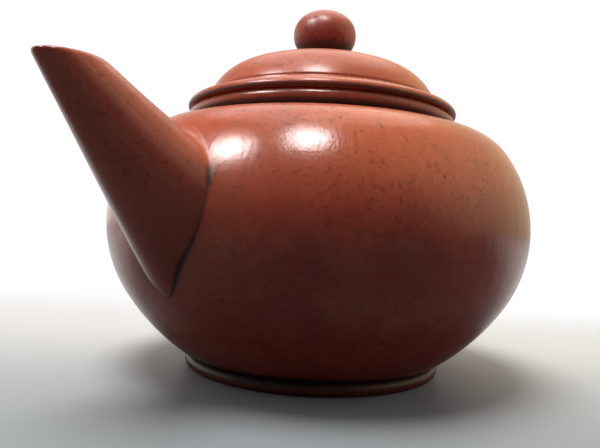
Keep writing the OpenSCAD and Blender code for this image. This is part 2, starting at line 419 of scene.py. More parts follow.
# %% The turning tree
def turning_tree():
    """Turns an outline, a chain of points beside the axis, and gives its inner rows their own clay."""
    tree = bpy.data.node_groups.new("turn_on_wheel", "GeometryNodeTree")
    sockets(tree, "INPUT", Outline="Geometry", Steps="Int", Waver="Float", Seed="Float", Clay="Material")
    sockets(tree, "INPUT", Inside_From="Int", Inside_Clay="Material")
    sockets(tree, "OUTPUT", Turned="Geometry")
    given = tree.nodes.new("NodeGroupInput").outputs
    count = add(tree, "GeometryNodeAttributeDomainSize", {0: given["Outline"]}).outputs["Point Count"]
    columns = calc(tree, "ADD", given["Steps"], 1.0)
    grid = add(tree, "GeometryNodeMeshGrid", {"Vertices X": columns, "Vertices Y": count})
    index = tree.nodes.new("GeometryNodeInputIndex")
    row = add(tree, "FunctionNodeIntegerMath", {0: index, 1: count}, operation="MODULO")
    column = add(tree, "FunctionNodeIntegerMath", {0: index, 1: count}, operation="DIVIDE_FLOOR")
    here = tree.nodes.new("GeometryNodeInputPosition")
    sample = {"Geometry": given["Outline"], "Value": here, "Index": row}
    on_outline = add(tree, "GeometryNodeSampleIndex", sample, data_type="FLOAT_VECTOR", domain="POINT")
    angle = times(tree, column, calc(tree, "DIVIDE", 2 * math.pi, given["Steps"]))
    turned = {"Vector": on_outline, "Angle": angle}
    place = add(tree, "ShaderNodeVectorRotate", turned, rotation_type="Z_AXIS")
    drift = {"Vector": place, "Scale": 28.0, "Detail": 1.0, "W": given["Seed"]}
    slow = add(tree, "ShaderNodeTexNoise", drift, noise_dimensions="4D")
    outwards = vector_calc(tree, "NORMALIZE", vector_calc(tree, "MULTIPLY", place, (1.0, 1.0, 0.0)))
    draw_in = times(tree, times(tree, slow, given["Waver"]), -1.0)
    shift = vector_calc(tree, "MULTIPLY", outwards, draw_in)
    moved = add(tree, "GeometryNodeSetPosition", {"Geometry": grid, "Position": place, "Offset": shift})
    rows = {2: row, 3: given["Inside_From"]}
    is_inside = add(tree, "FunctionNodeCompare", rows, data_type="INT", operation="GREATER_EQUAL")
    mark = {"Geometry": moved, "Name": "inside", "Value": is_inside}
    marked = add(tree, "GeometryNodeStoreNamedAttribute", mark)
    closed = add(tree, "GeometryNodeMergeByDistance", {"Geometry": marked, "Distance": 1e-6})
    smooth = add(tree, "GeometryNodeSetShadeSmooth", {"Geometry": closed})
    real = add(tree, "GeometryNodeRealizeInstances", {"Geometry": smooth})
    outside = add(tree, "GeometryNodeSetMaterial", {"Geometry": real, "Material": given["Clay"]})
    inside = add(tree, "GeometryNodeInputNamedAttribute", {"Name": "inside"}, data_type="FLOAT")
    inner = {"Selection": calc(tree, "GREATER_THAN", inside, 0.99), "Material": given["Inside_Clay"]}
    both = add(tree, "GeometryNodeSetMaterial", {"Geometry": outside, **inner})
    add(tree, "NodeGroupOutput", {0: both})
    return tree


WHEEL = turning_tree()
print("the turning tree has", len(WHEEL.nodes), "nodes")

# %% Helpers that put a tree to work
waver = 0.12
sharp_edge = math.radians(50)


def run_tree(piece, tree, **values):
    """Runs a Geometry Nodes tree on a piece and keeps what it makes as a plain mesh."""
    modifier = piece.modifiers.new(tree.name, "NODES")
    modifier.node_group = tree
    for item in tree.interface.items_tree:
        if item.name in values:
            modifier[item.identifier] = values[item.name]
    graph = bpy.context.evaluated_depsgraph_get()
    mesh = bpy.data.meshes.new_from_object(piece.evaluated_get(graph), depsgraph=graph)
    piece.modifiers.clear()
    piece.data = mesh
    mesh.name = piece.name


def close_skin(piece, keep_edges=False):
    """Merges doubled points, turns every face outwards and shades the skin smooth, or all but its edges."""
    skin = bmesh.new()
    skin.from_mesh(piece.data)
    bmesh.ops.remove_doubles(skin, verts=skin.verts, dist=1e-7)
    bmesh.ops.recalc_face_normals(skin, faces=skin.faces)
    open_edges = sum(1 for edge in skin.edges if len(edge.link_faces) != 2)
    skin.to_mesh(piece.data)
    skin.free()
    piece.data.shade_smooth()
    if keep_edges:
        piece.data.set_sharp_from_angle(angle=sharp_edge)
    print(f"{piece.name}: {len(piece.data.polygons)} faces, {open_edges} open edges")


def new_piece(name, points, edges=(), faces=()):
    """A new object from points in millimetres."""
    mesh = bpy.data.meshes.new(name)
    mesh.from_pydata([tuple(p) for p in np.asarray(points) * MM], list(edges), list(faces))
    return new_object(name, mesh)


def turn(name, outline, clay, seed, inside_from=None, steps=288):
    """Turns an outline, a list of (distance from the axis, height), into a closed piece."""
    points = [(r, 0.0, z) for r, z in outline]
    edges = [(i, i + 1) for i in range(len(points) - 1)]
    piece = new_piece(name, points, edges)
    last_row = len(points) if inside_from is None else inside_from
    run_tree(
        piece, WHEEL, Steps=steps, Waver=waver * MM, Seed=seed, Clay=clay,
        Inside_From=last_row, Inside_Clay=inside_clay,
    )
    close_skin(piece)
    return piece


print(f"a wall wavers by up to {waver} mm")

# %% [markdown]
# ## Drawing an outline
# An outline is a chain of arcs and softened corners. Wet clay has no sharp edge, so each corner is an arc
# too. A Bezier curve could be drawn by eye, but arcs keep to the radii of the plain model.

# %% Helpers that draw outlines
def direction(angle):
    """A step of one in the outline's plane, at an angle in degrees above level."""
    return np.array([math.cos(math.radians(angle)), math.sin(math.radians(angle))])


def arc(centre, radius, start, stop, points):
    """Points along an arc between two angles."""
    return np.array([np.asarray(centre) + radius * direction(a) for a in np.linspace(start, stop, points)])


def bend(start, corner, stop, points):
    """A soft bend from start to stop, drawn towards corner, for single points or whole rings of them."""
    start, corner, stop = (np.asarray(p, float) for p in (start, corner, stop))
    share = np.linspace(0, 1, points).reshape(-1, *(1,) * start.ndim)
    return (1 - share) ** 2 * start + 2 * share * (1 - share) * corner + share**2 * stop


def soft_corner(before, corner, after, reach, points=6):
    """Rounds a corner between two straight stretches, starting that far before and after it."""
    before, corner, after = (np.asarray(p, float) for p in (before, corner, after))
    start = corner + (before - corner) / np.linalg.norm(before - corner) * reach
    stop = corner + (after - corner) / np.linalg.norm(after - corner) * reach
    return bend(start, corner, stop, points)


def straight(start, stop, points):
    """Points between two ends, without the ends."""
    return np.linspace(start, stop, points + 2)[1:-1]


corner_line = soft_corner((0, 1), (0, 0), (1, 0), reach=1)
print(f"a corner of 1 mm stays {np.hypot(*corner_line.T).min():.2f} mm off its point")

# %% [markdown]
# ## The pot
# The side of the pot is three arcs that run on into each other: a wide one under the belly, the belly itself
# and a tight shoulder. The foot ends in a small bead with a fine groove beside it, and the mouth in a bead
# on a low neck. The same arcs, one wall further in, make the inside. A sphere could be sculpted into this
# form, but the plain model's arcs give it at once, and the skin stays on the solids.

# %% Sizes of the pot
belly_r = 25.9
belly_z = 29.2
shoulder_r = 11.4
shoulder_angle = 34
under_r = 43.5
under_angle = -34
wall = 2.8
foot_in = 21.4
foot_bead = 1.3
mouth_in = 22.3
mouth_bead = 1.35
mouth_neck = mouth_out - 0.75
belly_c = np.array([belly_out - belly_r, belly_z])
shoulder_c = belly_c + (belly_r - shoulder_r) * direction(shoulder_angle)
under_c = belly_c + (belly_r - under_r) * direction(under_angle)
foot_c = (foot_out - foot_bead, foot_bead)
mouth_c = (mouth_out - mouth_bead, seat_z - mouth_bead)
foot_groove = np.array([foot_out - 0.85, 2.62])
mouth_groove = np.array([mouth_out - 0.35, top_z + 0.75])
lower_from_z = 2.95
print(f"the belly's arc is round a point {belly_c[0]:.1f} mm off the axis and {belly_c[1]:.1f} mm up")


# %% Turn the pot
def pot_outline():
    """The pot's outline from the middle of its underside, round the outside, to the middle of its floor."""
    foot_wall = soft_corner((0, under_z), (foot_in, under_z), (foot_in, 0), 0.9)
    foot_edge = soft_corner((foot_in, under_z), (foot_in, 0), (foot_out, 0), 0.6)
    foot_round = arc(foot_c, foot_bead, -90, 78, 16)
    lower_end = math.degrees(math.asin((lower_from_z - under_c[1]) / under_r))
    lower = arc(under_c, under_r, lower_end, under_angle, 26)
    belly = arc(belly_c, belly_r, under_angle, shoulder_angle, 46)[1:]
    upper = arc(shoulder_c, shoulder_r, shoulder_angle, 90, 24)[1:]
    neck = soft_corner((belly_out, top_z), (mouth_neck, top_z), (mouth_neck, seat_z), 0.4)
    rim_start = -math.degrees(math.acos((mouth_neck - mouth_c[0]) / mouth_bead))
    rim = arc(mouth_c, mouth_bead, rim_start, 90, 22)
    rim_edge = soft_corner((mouth_out, seat_z), (mouth_in, seat_z), (mouth_in, top_z), 0.5)
    ceiling_z = top_z - wall
    throat = soft_corner((mouth_in, seat_z), (mouth_in, ceiling_z), (belly_out, ceiling_z), 0.8)
    in_upper = arc(shoulder_c, shoulder_r - wall, 90, shoulder_angle, 12)
    in_belly = arc(belly_c, belly_r - wall, shoulder_angle, under_angle, 24)[1:]
    floor_angle = math.degrees(math.asin((floor_z - under_c[1]) / (under_r - wall)))
    in_lower = arc(under_c, under_r - wall, under_angle, floor_angle + 4, 10)[1:]
    floor_edge = under_c + (under_r - wall) * direction(floor_angle)
    in_corner = soft_corner(in_lower[-1], floor_edge, (0, floor_z), 2.4)
    outside = np.vstack([
        [(0, under_z)], straight((0, under_z), foot_wall[0], 6), foot_wall, foot_edge, foot_round,
        [foot_groove], lower, belly, upper, straight(upper[-1], neck[0], 2), neck,
        straight(neck[-1], rim[0], 2), rim, straight(rim[-1], rim_edge[0], 4), rim_edge,
    ])
    inside = np.vstack([
        straight(rim_edge[-1], throat[0], 3), throat, straight(throat[-1], in_upper[0], 4), in_upper,
        in_belly, in_lower, in_corner, straight(in_corner[-1], (0, floor_z), 8), [(0, floor_z)],
    ])
    return np.vstack([outside, inside]), len(outside)


pot_line, pot_inside_row = pot_outline()
pot = turn("pot_skin", pot_line, burnished_clay, seed=3.0, inside_from=pot_inside_row)

# %% [markdown]
# ## The strainer
# Behind the spout the wall is pierced by a ring of small holes round a middle one, which keep the leaves
# back. Holes in a curved wall could be cut one by one with Boolean modifiers. A second tree does it in one
# go: it sets a drill at every place of the ring, and takes all the drills away from the pot together.

# %% Pierce the strainer
def strainer_tree():
    """Drills a ring of level holes, and one in its middle, through the wall at a place."""
    tree = bpy.data.node_groups.new("pierce_strainer", "GeometryNodeTree")
    sockets(tree, "INPUT", Pot="Geometry", Hole="Float", Ring="Float", Holes="Int", Place="Vector")
    sockets(tree, "INPUT", Clay="Material")
    sockets(tree, "OUTPUT", Pierced="Geometry")
    given = tree.nodes.new("NodeGroupInput").outputs
    ring = add(tree, "GeometryNodeMeshCircle", {"Vertices": given["Holes"], "Radius": given["Ring"]})
    places = add(tree, "GeometryNodeJoinGeometry", {0: add(tree, "GeometryNodeMeshToPoints", {0: ring})})
    middle = add(tree, "GeometryNodePoints", {"Count": 1})
    tree.links.new(middle.outputs[0], places.inputs[0])
    half = times(tree, given["Hole"], 0.5)
    drill = add(tree, "GeometryNodeMeshCylinder", {"Vertices": 28, "Radius": half, "Depth": 10 * MM})
    drills = add(tree, "GeometryNodeInstanceOnPoints", {"Points": places, "Instance": drill})
    real = add(tree, "GeometryNodeRealizeInstances", {0: drills})
    raw = add(tree, "GeometryNodeSetMaterial", {"Geometry": real, "Material": given["Clay"]})
    level = {"Rotation": (math.pi / 2, 0.0, math.pi / 2), "Translation": given["Place"]}
    placed = add(tree, "GeometryNodeTransform", {"Geometry": raw, **level})
    cut = {"Mesh 1": given["Pot"], "Mesh 2": placed}
    pierced = add(tree, "GeometryNodeMeshBoolean", cut, operation="DIFFERENCE")
    add(tree, "NodeGroupOutput", {0: pierced})
    return tree


strainer_hole = 2.2
strainer_pitch = 3.9
strainer_box = node_box("strainer")
strainer_place = Vector(((strainer_box[0] + strainer_box[1]) / 2).tolist()) * MM
run_tree(
    pot, strainer_tree(), Hole=strainer_hole * MM, Ring=strainer_pitch * MM, Holes=6,
    Place=strainer_place, Clay=inside_clay,
)
close_skin(pot, keep_edges=True)

# %% [markdown]
# ## The lid
# The lid is one turned piece: a flange that drops into the mouth, a bead that sits on the bead of the mouth,
# a small step, and a dome of two arcs with a fine engraved line round its foot. A vent runs down through the
# knob and the dome. A tube, a ring and a dome could be joined, but one outline leaves no seam to hide.

# %% Sizes of the lid
dome_edge_r = 10.8
dome_foot_angle = 19
dome_inset = 4.2
dome_wall = 3.0
flange_wall = 2.2
vent_r = 0.9
dome_foot = np.array([bead_out - dome_inset, bead_z])
dome_edge_c = dome_foot - dome_edge_r * direction(dome_foot_angle)
edge_drop = crown_z - dome_edge_c[1]
crown_r = (dome_edge_c[0] ** 2 + edge_drop**2 - dome_edge_r**2) / (2 * (edge_drop - dome_edge_r))
crown_c = np.array([0.0, crown_z - crown_r])
crown_angle = math.degrees(math.atan2(dome_edge_c[1] - crown_c[1], dome_edge_c[0]))
bead_face = bead_out - 0.02
bead_edge = np.array([dome_foot[0] + 1.6, bead_z - 0.66])
step_angle = dome_foot_angle - 3.0
lid_step = dome_edge_c + dome_edge_r * direction(step_angle)
line_angle = dome_foot_angle + 0.8
line_deep = 0.13
print(f"the dome's crown has a radius of {crown_r:.1f} mm and meets its edge at {crown_angle:.0f} degrees")


# %% Turn the lid
def lid_outline():
    """The lid's closed outline, from the vent along the underside to the flange, and back over the top."""
    flange_in = flange_out - flange_wall
    in_crown_r = crown_r - dome_wall
    in_edge_r = dome_edge_r - dome_wall
    vent_angle = math.degrees(math.acos(vent_r / in_crown_r))
    in_crown = arc(crown_c, in_crown_r, vent_angle, crown_angle, 12)
    wall_angle = math.degrees(math.acos((flange_in - dome_edge_c[0]) / in_edge_r))
    in_edge = arc(dome_edge_c, in_edge_r, crown_angle, wall_angle + 6, 8)[1:]
    wall_top = dome_edge_c + in_edge_r * direction(wall_angle)
    in_corner = soft_corner(in_edge[-1], wall_top, (flange_in, flange_low), 0.8)
    low_in = soft_corner(wall_top, (flange_in, flange_low), (flange_out, flange_low), 0.8)
    low_out = soft_corner((flange_in, flange_low), (flange_out, flange_low), (flange_out, seat_z), 0.8)
    seat = soft_corner((flange_out, flange_low), (flange_out, seat_z), (bead_out, seat_z), 0.3)
    bead_low = soft_corner((flange_out, seat_z), (bead_face, seat_z), (bead_face, bead_z), 0.6, 9)
    bead_high = bend(bead_low[-1], (bead_face, bead_z - 1.25), bead_edge, 18)
    edge = arc(dome_edge_c, dome_edge_r, line_angle + 0.5, crown_angle, 22)
    line = dome_edge_c + (dome_edge_r - line_deep) * direction(line_angle)
    band = arc(dome_edge_c, dome_edge_r, step_angle + 1.2, line_angle - 0.5, 5)
    step = soft_corner(bead_edge, lid_step, band[0], 0.2)
    crown = arc(crown_c, crown_r, crown_angle, math.degrees(math.acos(vent_r / crown_r)), 26)[1:]
    vent = straight(crown[-1], in_crown[0], 2)
    return np.vstack([
        in_crown, in_edge, in_corner, straight(in_corner[-1], low_in[0], 6), low_in, low_out,
        straight(low_out[-1], seat[0], 4), seat, straight(seat[-1], bead_low[0], 4), bead_low,
        bead_high[1:], straight(bead_edge, step[0], 3), step, band, [line], edge, crown, vent, in_crown[:1],
    ])


lid = turn("lid_skin", lid_outline(), turned_clay, seed=11.0)

# %% [markdown]
# ## The knob
# The knob was rolled as a ball, pressed a little flat, and stuck on with slip. A flattened sphere would come
# close, but the knob is fuller below than above, with a small fillet of slip where it meets the dome. So it
# is turned from an outline of its own.

# %% Turn the knob
knob_wide_z = 70.1
full_above = 0.92
full_below = 0.95
knob_vent = vent_r - 0.04
slip_rise = 0.3


def knob_outline():
    """The knob's closed outline, from the foot of the vent, out under the ball, over it and down again."""
    turned = np.radians(np.linspace(-90, 90, 61))
    across = np.cos(turned)
    up = np.sin(turned)
    fullness = np.where(up > 0, full_above, full_below)
    height = np.where(up > 0, knob_top - knob_wide_z, knob_wide_z - knob_low)
    r = knob_out * across**fullness
    z = knob_wide_z + height * np.sign(up) * np.abs(up) ** fullness
    on_ball = (r > vent_r + 0.45) & (z > knob_low + 0.9)
    ball = np.column_stack([r, z])[on_ball]
    dome_z = crown_c[1] + math.sqrt(crown_r**2 - (ball[0][0] + 0.7) ** 2)
    slip = soft_corner((ball[0][0] + 0.8, dome_z - 0.05), (ball[0][0], dome_z + 0.15), ball[1], 0.75)
    under = [(knob_vent, knob_low + slip_rise), (slip[0][0], knob_low + slip_rise)]
    vent_edge = soft_corner(ball[-1], (knob_vent, knob_top - 0.02), (knob_vent, knob_low), 0.35)
    vent = straight(vent_edge[-1], under[0], 4)
    return np.vstack([under, slip, ball[1:], vent_edge, vent, under[:1]])


knob = turn("knob_skin", knob_outline(), burnished_clay, seed=23.0, steps=144)

# %% [markdown]
# ## Luting spout and handle to the pot
# Spout and handle are made apart, scored, wetted with slip and pressed on. The potter then smears the edge
# of the joint with a tool, wide where there is room and hardly at all in a tight corner. A Boolean union
# would give a sharp, even seam. Here every line that runs along the spout or handle is followed until it
# meets the pot, and its last stretch is bent out along the wall. How far is the reach of the smear.

# %% Helpers that find the pot's wall
def pot_height(points):
    """How far points stand off the pot's outside, and which way is off, from its three arcs."""
    points = np.asarray(points, float)
    radius = np.hypot(points[..., 0], points[..., 1])
    plane = np.stack([radius, points[..., 2]], -1)
    angle = np.degrees(np.arctan2(plane[..., 1] - belly_c[1], plane[..., 0] - belly_c[0]))
    is_upper = (angle > shoulder_angle)[..., None]
    is_lower = (angle < under_angle)[..., None]
    centre = np.where(is_upper, shoulder_c, np.where(is_lower, under_c, belly_c))
    curve = np.where(is_upper, shoulder_r, np.where(is_lower, under_r, belly_r))[..., 0]
    offset = plane - centre
    length = np.linalg.norm(offset, axis=-1)
    lean = offset / length[..., None]
    off = np.stack(
        [lean[..., 0] * points[..., 0] / radius, lean[..., 0] * points[..., 1] / radius, lean[..., 1]], -1
    )
    return length - curve, off


def meet(test, outside, inside):
    """Where each line crosses from outside, where test is above 0, to inside, by halving the stretch."""
    for _ in range(40):
        middle = (outside + inside) / 2
        is_out = test(middle) > 0
        outside = np.where(is_out, middle, outside)
        inside = np.where(is_out, inside, middle)
    return (outside + inside) / 2


print(f"a point on the belly's widest ring stands {pot_height((belly_out, 0, belly_z))[0]:.3f} mm off it")


# %% Helpers that lute a piece to the pot
def smear(start, meeting, away, reach, rows=16, sink=0.03):
    """Rings that bend from each line's start out along the pot's wall and end just under its surface."""
    off = pot_height(meeting)[1]
    flat = away - off * np.sum(away * off, -1, keepdims=True)
    flat /= np.linalg.norm(flat, axis=-1, keepdims=True)
    stop = meeting + flat * reach[:, None]
    rings = []
    for q in np.linspace(0, 1, rows):
        ring = (1 - q) ** 2 * start + 2 * q * (1 - q) * meeting + q**2 * stop
        height, off = pot_height(ring)
        flatter = 1 - (1 - q**2) ** 2
        rings.append(ring - off * (height * flatter + sink * q**4)[:, None])
    return np.array(rings)


def ring_faces(rows, columns, closed):
    """Four-sided faces between rings of points, where closed also joins the last ring to the first."""
    faces = []
    for i in range(rows if closed else rows - 1):
        for j in range(columns):
            below = (i * columns + j, i * columns + (j + 1) % columns)
            above = ((i + 1) % rows * columns + j, (i + 1) % rows * columns + (j + 1) % columns)
            faces.append((below[0], below[1], above[1], above[0]))
    return faces


def luted_piece(name, points, faces):
    """A piece of burnished clay from points in millimetres, smooth apart from its sharp edges."""
    piece = new_piece(name, points, faces=faces)
    piece.data.materials.append(burnished_clay)
    close_skin(piece, keep_edges=True)
    return piece


def bell(value, middle, width):
    """A soft hump of height 1."""
    return np.exp(-(((value - middle) / width) ** 2))


print(f"a bell is down to {bell(1.0, 0.0, 1.0):.2f} one width from its middle")

# %% [markdown]
# ## The spout
# The spout is a straight cone whose lip rises a little towards the pot. It was rolled by hand, so it is a
# little hollow along its top, a little full along its chin and flanks, and pressed in on one side where the
# lower seam meets the belly. The lip is worn round, most of all on the side that faces the pot. A cone from
# the Add menu has none of that, so lines are laid along it by a formula, and turned into rings.

# %% Sizes of the spout
spout_out = 16.8
spout_rise = math.radians(41)
tip_r = 3.25
root_r = 12.0
root_depth = 12.0
lip_wall = 1.1
lip_tilt = 0.06
root_wall = 2.6
top_hollow = 0.2
chin_fullness = 0.24
flank_fullness = 0.9
side_press = 0.7
lip_middle = np.array([-(belly_out + spout_out), 0.0, highest("spout")])
spout_length = (spout_out + root_depth) / math.cos(spout_rise)
spout_down = np.array([math.cos(spout_rise), 0.0, -math.sin(spout_rise)])
spout_up = np.array([math.sin(spout_rise), 0.0, math.cos(spout_rise)])
spout_side = np.array([0.0, 1.0, 0.0])
spout_turn = np.linspace(0, 2 * math.pi, 192, endpoint=False)
spout_ray = np.cos(spout_turn)[:, None] * spout_up + np.sin(spout_turn)[:, None] * spout_side
top_share = np.clip(np.cos(spout_turn), 0, 1)
chin_share = np.clip(-np.cos(spout_turn), 0, 1)
seam_angle = np.degrees(np.abs(np.arctan2(np.sin(spout_turn), np.cos(spout_turn))))
pressed_side = bell(np.degrees(spout_turn), 212.0, 24.0)
print(f"the spout's cone is {spout_length:.1f} mm long, on {len(spout_turn)} lines")


# %% Lines along the spout
def spout_outside(s):
    """Points on the outside, one for each line, s millimetres down the spout from its lip."""
    radius = tip_r + (root_r - tip_r) * s / spout_length
    radius = radius - top_hollow * bell(s, 11.0, 6.0) * top_share**1.5
    radius = radius + chin_fullness * chin_share**0.7
    radius = radius + flank_fullness * bell(s, 25.0, 7.0) * bell(seam_angle, 75.0, 28.0)
    radius = radius - side_press * bell(s, 34.0, 7.0) * pressed_side
    return lip_middle + s[:, None] * spout_down + radius[:, None] * spout_ray


def spout_bore(s):
    """Points in the passage, one for each line."""
    radius = tip_r - lip_wall + (root_r - root_wall - tip_r + lip_wall) * s / spout_length
    return lip_middle + s[:, None] * spout_down + radius[:, None] * spout_ray


def over_lip(points):
    """How far points lie above the lip's plane, which rises a little towards the pot."""
    return points[:, 2] - lip_middle[2] - lip_tilt * (points[:, 0] - lip_middle[0])


every_line = np.ones(len(spout_turn))
lip_out = meet(lambda s: over_lip(spout_outside(s)), -6 * every_line, 12 * every_line)
lip_in = meet(lambda s: over_lip(spout_bore(s)), -6 * every_line, 12 * every_line)
root_out = meet(lambda s: pot_height(spout_outside(s))[0], 12 * every_line, 44 * every_line)
root_in = meet(lambda s: pot_height(spout_bore(s))[0], 8 * every_line, 40 * every_line)
spout_reach = 0.15 + 1.9 * bell(seam_angle, 0.0, 45.0) + 0.5 * bell(seam_angle, 80.0, 25.0)
spout_seam = spout_outside(root_out)
print(f"its seam lies {root_out.min():.1f} mm down the top and {root_out.max():.1f} mm down the chin")


# %% Make the spout
def spout_rings():
    """Rings from the root up the outside, over the lip and down the passage to the root again."""
    worn_to = lip_out + 1.2 + 0.3 * top_share**1.5
    smear_from = root_out - spout_reach
    outer = [spout_outside(worn_to + (smear_from - worn_to) * q) for q in np.linspace(0, 1, 44)]
    joint = smear(outer[-1], spout_seam, spout_ray, spout_reach)
    lip_edge = 0.5 * spout_outside(lip_out) + 0.5 * spout_bore(lip_in)
    lip_round = bend(outer[0], spout_outside(lip_out), lip_edge, 9)
    inner_from = lip_in + 0.5
    inner_to = root_in + 0.3
    lip_fall = bend(lip_edge, spout_bore(lip_in), spout_bore(inner_from), 6)
    inner = [spout_bore(inner_from + (inner_to - inner_from) * q) for q in np.linspace(0, 1, 14)]
    return np.array([*joint[::-1], *outer[-2::-1], *lip_round[1:], *lip_fall[1:], *inner[1:]])


spout_skin = spout_rings()
spout_faces = ring_faces(*spout_skin.shape[:2], closed=True)
spout = luted_piece("spout_skin", spout_skin.reshape(-1, 3), spout_faces)

# %% [markdown]
# ## The handle
# The handle is a pulled strap of clay, oval in section, thinner and narrower towards its lower end. It
# follows part of an ellipse on the side away from the spout, and is luted to the pot at both ends. A curve
# with a bevel would do for an even rope of clay. This strap changes on its way, so its rings come from a
# formula as well.

# %% Lines along the handle
handle_drop = 3.6
handle_in = 2.0
handle_end = 130.0
handle_half_t = (3.2, 2.6)
handle_half_w = (4.4, 3.3)
handle_low, handle_high = node_box("handle")
handle_mean_t = sum(handle_half_t) / 2
handle_c = np.array([belly_out - handle_in, 0.0, belly_z - handle_drop])
handle_half_x = handle_high[0] - handle_mean_t - handle_c[0]
handle_half_z = (handle_high[2] - handle_low[2]) / 2 - handle_mean_t
handle_turn = np.linspace(0, 2 * math.pi, 64, endpoint=False)


def handle_ray(angle):
    """The way from the handle's middle line to its skin, one for each line, at an angle in degrees."""
    turned = np.radians(angle)
    slope = np.stack([np.cos(turned) / handle_half_x, np.sin(turned) / handle_half_z], -1)
    slope /= np.linalg.norm(slope, axis=-1, keepdims=True)
    share = (handle_end - angle) / (2 * handle_end)
    half_t = handle_half_t[0] + (handle_half_t[1] - handle_half_t[0]) * share
    half_w = handle_half_w[0] + (handle_half_w[1] - handle_half_w[0]) * share
    across = np.cos(handle_turn) * half_t
    return np.stack([slope[:, 0] * across, np.sin(handle_turn) * half_w, slope[:, 1] * across], -1)


def handle_skin(angle):
    """Points on the handle, one for each line, at each line's own angle round the ellipse."""
    turned = np.radians(angle)
    middle = np.stack([handle_half_x * np.cos(turned), 0 * turned, handle_half_z * np.sin(turned)], -1)
    return handle_c + middle + handle_ray(angle)


print(f"the handle's ellipse is {2 * handle_half_x:.1f} mm by {2 * handle_half_z:.1f} mm")

# %% Make the handle
smear_turn = 6.0
upper_reach = 2.4
lower_reach = 2.0


def handle_rings():
    """Rings from the upper joint round to the lower one."""
    lines = np.ones(len(handle_turn))
    upper = meet(lambda a: pot_height(handle_skin(a))[0], 60 * lines, handle_end * lines)
    lower = meet(lambda a: pot_height(handle_skin(a))[0], -60 * lines, -handle_end * lines)
    span = lower - upper + 2 * smear_turn
    middle = [handle_skin(upper - smear_turn + span * q) for q in np.linspace(0, 1, 72)]
    joints = []
    for angle, ring, reach in ((upper, middle[0], upper_reach), (lower, middle[-1], lower_reach)):
        joints.append(smear(ring, handle_skin(angle), handle_ray(angle), reach * lines))
    return np.array([*joints[0][::-1], *middle[1:-1], *joints[1]])


def handle_piece(rings):
    """The handle from its rings, with both ends closed inside the pot's wall."""
    rows, columns = rings.shape[:2]
    points = list(rings.reshape(-1, 3))
    faces = ring_faces(rows, columns, closed=False)
    for first, ring in ((0, rings[0]), ((rows - 1) * columns, rings[-1])):
        points.append(ring.mean(0))
        faces.extend((first + j, first + (j + 1) % columns, len(points) - 1) for j in range(columns))
    return luted_piece("handle_skin", points, faces)


handle_line = handle_rings()
handle = handle_piece(handle_line)
handle_seam = np.vstack([handle_line[0], handle_line[-1]])

# %% [markdown]
# ## Grime and painted shade
# Years of tea and hands leave a dark line along the seams, most of all in the sharp lower seam of the spout.
# The same dark colour paints shade, with some grime in it, beside the beads, in the grooves at the mouth and
# over the foot, on the shoulder close under the mouth, and under the knob. It could be painted by hand in
# Vertex Paint. Here its amount comes from the distance to a bead or seam, so that it follows when the shapes
# change. It is stored on each mesh as an attribute, which the clay's shader breaks up with noise.

# %% Helpers that paint
def points_of(piece):
    """The piece's points, in millimetres."""
    flat = np.empty(len(piece.data.vertices) * 3)
    piece.data.vertices.foreach_get("co", flat)
    return flat.reshape(-1, 3) / MM


def around_ring(points, ring, amount, width):
    """An amount that fades away from a ring round the axis, which the outline's plane shows as one point."""
    gap = np.hypot(np.hypot(points[:, 0], points[:, 1]) - ring[0], points[:, 2] - ring[1])
    return amount * bell(gap, 0.0, width)


def seam_grime(points, seam, amount, width, search=30.0):
    """Grime along a seam, with its own amount and width at each point of the seam."""
    found = np.zeros(len(points))
    close = np.linalg.norm(points - seam.mean(0), axis=1) < search
    for place, much, wide in zip(seam, amount, width):
        gap = np.linalg.norm(points[close] - place, axis=1)
        found[close] = np.maximum(found[close], much * bell(gap, 0.0, wide))
    return found


def store(piece, name, *layers):
    """Stores the strongest of some layers as one number for each point of a piece."""
    amount = np.max(layers, axis=0)
    piece.data.attributes.new(name, "FLOAT", "POINT").data.foreach_set("value", amount.astype(np.float32))
    print(f"{piece.name}: {name} up to {amount.max():.2f} on {np.mean(amount > 0.3):.1%} of its points")


pot_points = points_of(pot)
spout_points = points_of(spout)
handle_points = points_of(handle)
lid_points = points_of(lid)
knob_points = points_of(knob)
print("points on the pot:", len(pot_points))

# %% Paint the grime and the painted shade
seam_amount = 0.2 + 0.6 * bell(seam_angle, 150.0, 42.0) + 0.45 * bell(seam_angle, 80.0, 12.0)
seam_width = 0.25 + 0.65 * bell(seam_angle, 156.0, 18.0) + 0.9 * bell(seam_angle, 80.0, 12.0)
handle_amount = np.full(len(handle_seam), 0.5)
handle_width = np.full(len(handle_seam), 0.8)
neck_foot = (mouth_neck, top_z)
knob_foot = (4.0, crown_z - 0.1)
# Mostly painted shade in the groove under the mouth's bead, at its top, on the shoulder close under the
# mouth and over the foot; the seams hold grime.
store(
    pot,
    "grime_and_shade",
    around_ring(pot_points, mouth_groove, amount=1.2, width=1.1),
    around_ring(pot_points, (mouth_out, seat_z), amount=0.6, width=0.7),
    around_ring(pot_points, neck_foot, amount=0.45, width=4.5),
    around_ring(pot_points, foot_groove, amount=0.9, width=2.4),
    around_ring(pot_points, foot_c, amount=0.7, width=2.6),
    seam_grime(pot_points, spout_seam, seam_amount, seam_width),
    seam_grime(pot_points, handle_seam, handle_amount, handle_width),
)
# Painted shade under the lid's bead, where it sits on the mouth, and round the foot of the knob.
store(
    lid,
    "grime_and_shade",
    around_ring(lid_points, (bead_face, seat_z), amount=0.8, width=0.8),
    around_ring(lid_points, knob_foot, amount=0.7, width=0.8),
)
store(spout, "grime_and_shade", seam_grime(spout_points, spout_seam, seam_amount, seam_width))
store(handle, "grime_and_shade", seam_grime(handle_points, handle_seam, handle_amount, handle_width))
# Painted shade over the lower half of the knob.
store(knob, "grime_and_shade", around_ring(knob_points, knob_foot, amount=1.1, width=4.2))
